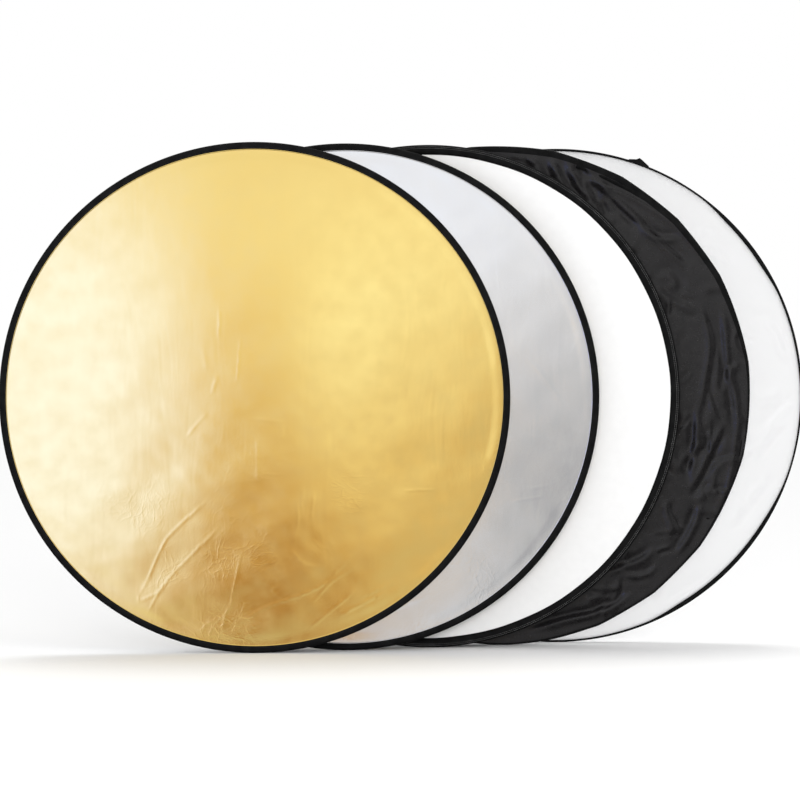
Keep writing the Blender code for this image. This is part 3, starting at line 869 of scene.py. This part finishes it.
def make_zip(disc, binding_reach):
    """The closed zip on the disc's back: two tapes tucked under the binding at their ends, and teeth."""
    teeth_radius = disc.radius - binding_reach - 1.5 * ZIP_GAP - ZIP_TAPE_WIDTH

    def tucked(angle, radius, depth):
        from_end = np.minimum(angle - ZIP_FIRST, ZIP_FIRST + ZIP_SWEEP - angle)
        return radius + 0.013 * smoothstep(ZIP_TUCK, 0, from_end), depth

    for which, side in (("outer", 1), ("inner", -1)):
        near, far = teeth_radius + side * 0.0004, teeth_radius + side * ZIP_TAPE_WIDTH
        section = [(near, 0.0056), (near, 0.0064), (far, 0.0062), (far, 0.0056)]
        tape = swept_ring(f"{disc.name}_zip_tape_{which}", disc, section, 252, tucked, ZIP_FIRST, ZIP_SWEEP)
        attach(paint(tape, ZIP_TAPE), disc.bodies[0])
        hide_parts(f"{disc.name}_zip_{which}")
        name = f"{disc.name}_zip_stitches_{which}"
        first, sweep = ZIP_FIRST + ZIP_TUCK, ZIP_SWEEP - 2 * ZIP_TUCK
        row = stitch_row(name, disc, far - side * 0.0016, 0.0063, 0.0038, 0.0027, 0.0004, first, sweep)
        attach(paint(row, BLACK_THREAD), disc.bodies[0])

    count = int(teeth_radius * (ZIP_SWEEP - 2 * ZIP_TUCK) / TOOTH_PITCH)
    places = []
    for index in range(2 * count):
        angle = ZIP_FIRST + ZIP_TUCK + (index + 0.5) * TOOTH_PITCH / 2 / teeth_radius
        places.append((teeth_radius, angle, 1 if index % 2 else -1))
    tooth = [(0.0022, -0.0004), (0.0004, -0.0004), (-0.0004, -0.0006), (-0.0012, -0.0004)]
    tooth += [(out, -along) for out, along in tooth[::-1]]
    teeth = prisms_along(f"{disc.name}_zip_teeth", disc, tooth, places, 0.0060, 0.0074, 0.82)
    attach(paint(teeth, TEETH), disc.bodies[0])
    for piece in ("zip_slider", "zip_pull"):
        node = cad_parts[f"{disc.name}_{piece}"]
        paint(node, ENAMEL)
        bevel = node.modifiers.new("worn_edges", "BEVEL")
        bevel.width = 0.00025
        bevel.segments = 2


def loose_casing(angle, radius, depth):
    """The bare core's casing is wider at the upper and lower right, and its outline is uneven."""
    turned = np.mod(angle + math.pi, 2 * math.pi) - math.pi
    upper = smoothstep(0.42, 0.59, turned) * smoothstep(0.94, 0.77, turned)
    lower = smoothstep(-1.19, -1.01, turned) * smoothstep(-0.31, -0.59, turned)
    inwards = smoothstep(0.001, 0.0055, DIFFUSER.radius - radius)
    wide = 0.0048 * np.maximum(upper, lower) + 0.0006 * np.sin(5 * angle) - 0.0012
    return radius - inwards * wide, depth


def make_seam_tab(disc):
    """The peaked tab where the casing's ends overlap outside the rim: folded tape with a soft edge."""
    corners = ((72.9, 0.0016), (71.25, 0.0062), (70.6, 0.0115), (68.0, 0.0016))
    angles = np.radians(np.linspace(72.9, 68.0, 40))
    heights = np.interp(-angles, [-math.radians(a) for a, _ in corners], [h for _, h in corners])
    section = ((0.0, -0.0050), (0.35, -0.0046), (0.75, -0.0030), (0.95, -0.0020), (1.0, -0.0008))
    section = (*section, (1.0, 0.0008), (0.95, 0.0020), (0.75, 0.0030), (0.35, 0.0046), (0.0, 0.0050))
    root = disc.radius - 0.0045
    share = np.array([point[0] for point in section])
    thick = np.array([point[1] for point in section])
    reach = (disc.radius + heights - root)[:, None]
    bend = 0.0006 * np.sin(18 * np.arange(40) / 40)[:, None]
    radius = root + share * reach
    depth = thick + bend * share
    points = in_world(disc, radius * np.cos(angles)[:, None], radius * np.sin(angles)[:, None], depth)
    size, faces = len(section), []
    for row in range(len(angles) - 1):
        for column in range(size):
            after = (column + 1) % size
            low, high = row * size, (row + 1) * size
            faces.append((low + column, low + after, high + after, high + column))
    faces.append(list(range(size)))
    faces.append(list(range(len(points) * size - size, len(points) * size)))
    tab = face_outwards(mesh_object(f"{disc.name}_seam_tab_tape", points.reshape(-1, 3), faces))
    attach(paint(tab, CASING), disc.bodies[1])
    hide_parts("diffuser_seam_tab")


# ---------------------------------------------------------------- stage

def glossy_card(name, y, glow, width, low, high):
    """A large glowing card that only reflections see, as a studio's softboxes look in the foil.

    glow(made) gets a Surface and returns the colour output of its light.
    """
    corners = [(-width / 2, y, low), (width / 2, y, low), (width / 2, y, high), (-width / 2, y, high)]
    card = mesh_object(name, corners, [(0, 1, 2, 3)])
    made = Surface(name, (1, 1, 1), 1.0)
    light = made.node("ShaderNodeEmission", Color=glow(made), Strength=1.0)
    made.tree.links.new(light.outputs[0], made.tree.nodes["Material Output"].inputs["Surface"])
    paint(card, made.material)
    card.visible_camera = False
    card.visible_diffuse = False
    card.visible_transmission = False
    card.visible_shadow = False


def front_glow(made):
    """A white softbox on the left, a paler one above, and a warm, dim room low down.

    Inside the gold disc's mirror image, dimmer light is also warmer.
    """
    step, product, total = made.step, made.product, made.total
    parts = made.node("ShaderNodeSeparateXYZ", Vector=made.place())
    x, z = parts.outputs[0], parts.outputs[2]
    aside, above = made.math("ABSOLUTE", total(x, 0.46)), made.math("ABSOLUTE", total(z, -0.48))
    from_gold = made.math("SQRT", total(made.math("POWER", aside, 2.0), made.math("POWER", above, 2.0)))
    warmth = step(from_gold, 0.82, 0.76)
    cool = step(warmth, 1.0, 0.0)
    rise = total(product(step(z, -0.38, 1.12), 0.44), 0.56)
    floor_side = product(step(z, 0.18, -0.20), warmth, -0.21)
    band = product(step(x, -0.36, -0.12), step(x, 0.30, 0.06), step(z, 1.5, 0.6), 0.22)
    band = product(band, total(product(warmth, 0.85), 0.15))
    low_left = product(step(x, -0.46, -0.85), step(z, 0.45, -0.05), 0.32)
    silver_low = product(step(x, -0.42, -0.18), step(z, 0.35, -0.20), cool, 0.12)
    silver_top = product(step(z, 0.55, 0.95), step(x, 0.30, 0.10), cool, -0.08)
    beside = product(step(x, 0.04, 0.28), step(z, 1.05, 0.65), warmth, -0.17)
    silver_right = product(step(x, 0.34, 0.53), step(x, 1.0, 0.75), step(z, 1.2, 0.8), -0.33)
    strength = total(rise, floor_side, band, low_left, silver_low, silver_top, beside, silver_right)
    far_right = product(step(x, 1.35, 1.80), -0.85)
    under = product(step(x, 0.70, 0.95), step(z, -0.35, -0.80), -0.85)
    strength = product(strength, total(far_right, 1.0), total(under, 1.0))
    green = made.math("POWER", strength, total(product(warmth, 0.7), 1.0))
    blue = made.math("POWER", strength, total(product(warmth, 1.8), 1.0))
    room = made.node("ShaderNodeCombineColor", Red=strength, Green=green, Blue=blue)
    left = product(step(x, -0.66, -0.95), step(z, 1.40, 0.80), step(z, -0.42, 0.26))
    left = product(left, step(x, -1.50, -1.28))
    mixed = made.tree.nodes.new("ShaderNodeMix")
    mixed.data_type = "RGBA"
    made.tree.links.new(left, mixed.inputs["Factor"])
    made.tree.links.new(room.outputs[0], mixed.inputs[6])
    mixed.inputs[7].default_value = (1.17, 1.50, 3.50, 1)
    return mixed.outputs[2]


def back_glow(made):
    """A calm gradient for the backs: brighter up and to the right, darker low down."""
    parts = made.node("ShaderNodeSeparateXYZ", Vector=made.place())
    x, z = parts.outputs[0], parts.outputs[2]
    side = made.product(made.step(x, -0.6, 2.2), 0.35)
    low = made.product(made.step(z, 0.7, -0.3), -0.30)
    strength = made.total(side, 0.68, low)
    return made.node("ShaderNodeCombineColor", Red=strength, Green=strength, Blue=strength).outputs[0]


def soft_light(name, location, target, size, power):
    """A square softbox that reflections don't see: the cards stand for it there."""
    data = bpy.data.lights.new(name, "AREA")
    data.shape = "SQUARE"
    data.size = size
    data.energy = power
    light = put(name, data)
    light.location = location
    light.rotation_mode = "QUATERNION"
    light.rotation_quaternion = (Vector(target) - Vector(location)).to_track_quat("-Z", "Y")
    light.visible_glossy = False


def make_world():
    """White where the camera looks past the object, and soft light that is strongest overhead."""
    world = bpy.data.worlds.new("studio")
    bpy.context.scene.world = world
    world.use_nodes = True
    nodes, links = world.node_tree.nodes, world.node_tree.links
    seen = nodes["Background"]
    seen.inputs["Color"].default_value = (1, 1, 1, 1)
    seen.inputs["Strength"].default_value = 1.0
    lit = nodes.new("ShaderNodeBackground")
    parts = nodes.new("ShaderNodeSeparateXYZ")
    links.new(nodes.new("ShaderNodeTexCoord").outputs["Generated"], parts.inputs[0])
    levels = []
    for low, high, first, last in ((0, 1, HORIZON_LIGHT, ZENITH_LIGHT), (-0.15, 0, 0.1, 1)):
        rise = nodes.new("ShaderNodeMapRange")
        rise.interpolation_type = "SMOOTHSTEP"
        for key, value in zip(("From Min", "From Max", "To Min", "To Max"), (low, high, first, last)):
            rise.inputs[key].default_value = value
        links.new(parts.outputs[2], rise.inputs["Value"])
        levels.append(rise.outputs["Result"])
    both = nodes.new("ShaderNodeMath")
    both.operation = "MULTIPLY"
    for level, socket in zip(levels, both.inputs):
        links.new(level, socket)
    links.new(both.outputs[0], lit.inputs["Strength"])
    mixed = nodes.new("ShaderNodeMixShader")
    links.new(nodes.new("ShaderNodeLightPath").outputs["Is Camera Ray"], mixed.inputs[0])
    links.new(lit.outputs[0], mixed.inputs[1])
    links.new(seen.outputs[0], mixed.inputs[2])
    links.new(mixed.outputs[0], nodes["World Output"].inputs["Surface"])


def make_stage():
    """A plain pale floor, white surroundings, and soft lights in front and above, a little behind."""
    floor = mesh_object(
        "floor",
        [(FLOOR_RADIUS * math.cos(a), FLOOR_RADIUS * math.sin(a), 0) for a in np.arange(64) * math.pi / 32],
        [list(range(64))],
    )
    white = Surface("floor_white", (0.95, 0.95, 0.95), 0.9)
    white.set("Specular IOR Level", 0.0)
    paint(floor, white.material)
    floor.visible_glossy = False
    make_world()
    glossy_card("front_card", FRONT_CARD_Y, front_glow, **CARD_SIZE)
    glossy_card("back_card", BACK_CARD_Y, back_glow, **CARD_SIZE)
    soft_light("key", (3.4, -3.4, 2.6), (0.2, 0, 0.5), 1.4, 28)
    soft_light("fill", (0, -6.5, 1.6), (0, 0, 0.5), 2.5, 175)
    above = put("above", bpy.data.lights.new("above", "SUN"))
    above.data.energy = 0.85
    above.data.angle = math.radians(22)
    above.rotation_euler = (math.radians(-13), 0, 0)
    above.visible_glossy = False
    bpy.context.scene.view_settings.view_transform = "Standard"


def make_camera():
    """Nearly level and square to the discs, far enough away for little perspective."""
    data = bpy.data.cameras.new("camera")
    data.sensor_width = 36
    data.lens = CAMERA_LENS
    camera = put("camera", data)
    elevation, target = math.radians(1.7), Vector((-0.0162, 0, 0.543))
    back = Vector((0, -math.cos(elevation), math.sin(elevation)))
    camera.location = target + back * CAMERA_DISTANCE
    camera.rotation_mode = "QUATERNION"
    camera.rotation_quaternion = (-back).to_track_quat("-Z", "Y")
    bpy.context.scene.camera = camera


make_camera()
make_stage()

for disc in (GOLD, SILVER, WHITE, BLACK):
    make_core(disc, CORE_RADIUS)
    make_membrane(disc, plain_relief, PLAIN_GRID)
make_core(DIFFUSER, DIFFUSER.radius, loose_casing)
make_seam_tab(DIFFUSER)
make_membrane(DIFFUSER, diffuser_relief, FINE_GRID)

make_binding(GOLD, BINDING_REACH, BLACK_THREAD, (0.0125,))
make_binding(SILVER, BINDING_REACH, BLACK_THREAD, (0.0125,))
make_binding(WHITE, WIDE_BINDING_REACH, GREY_THREAD, (0.0045, 0.0080))
make_binding(BLACK, WIDE_BINDING_REACH, BLACK_THREAD, (0.0045, 0.0080), 0.0015)

for disc in (GOLD, SILVER):
    make_zip(disc, BINDING_REACH)
for disc in (WHITE, BLACK):
    make_zip(disc, WIDE_BINDING_REACH)

make_panel(GOLD, "front", GOLD_FOIL, "gold_foil", gold_relief, FINE_GRID, GOLD_CREASES)
make_panel(GOLD, "back", SILVER_FOIL, "silver_foil", silver_relief, PLAIN_GRID)
make_panel(SILVER, "front", SILVER_FOIL, "silver_foil", silver_relief, FINE_GRID, SILVER_CREASES)
make_panel(SILVER, "back", GOLD_FOIL, "gold_foil", gold_relief, PLAIN_GRID)
make_edge_roll(GOLD, "front", GOLD_FOIL, "gold_foil")
make_edge_roll(GOLD, "back", SILVER_FOIL, "silver_foil")
make_edge_roll(SILVER, "front", SILVER_FOIL, "silver_foil")
make_edge_roll(SILVER, "back", GOLD_FOIL, "gold_foil")
make_panel(WHITE, "front", WHITE_NYLON, "white_nylon", plain_relief, PLAIN_GRID)
make_panel(WHITE, "back", BLACK_NYLON, "black_nylon", plain_relief, PLAIN_GRID)
make_hem(BLACK, *make_slack_panel(BLACK, BLACK_NYLON, "black_nylon", black_relief))
make_panel(BLACK, "back", WHITE_NYLON, "white_nylon", plain_relief, PLAIN_GRID)
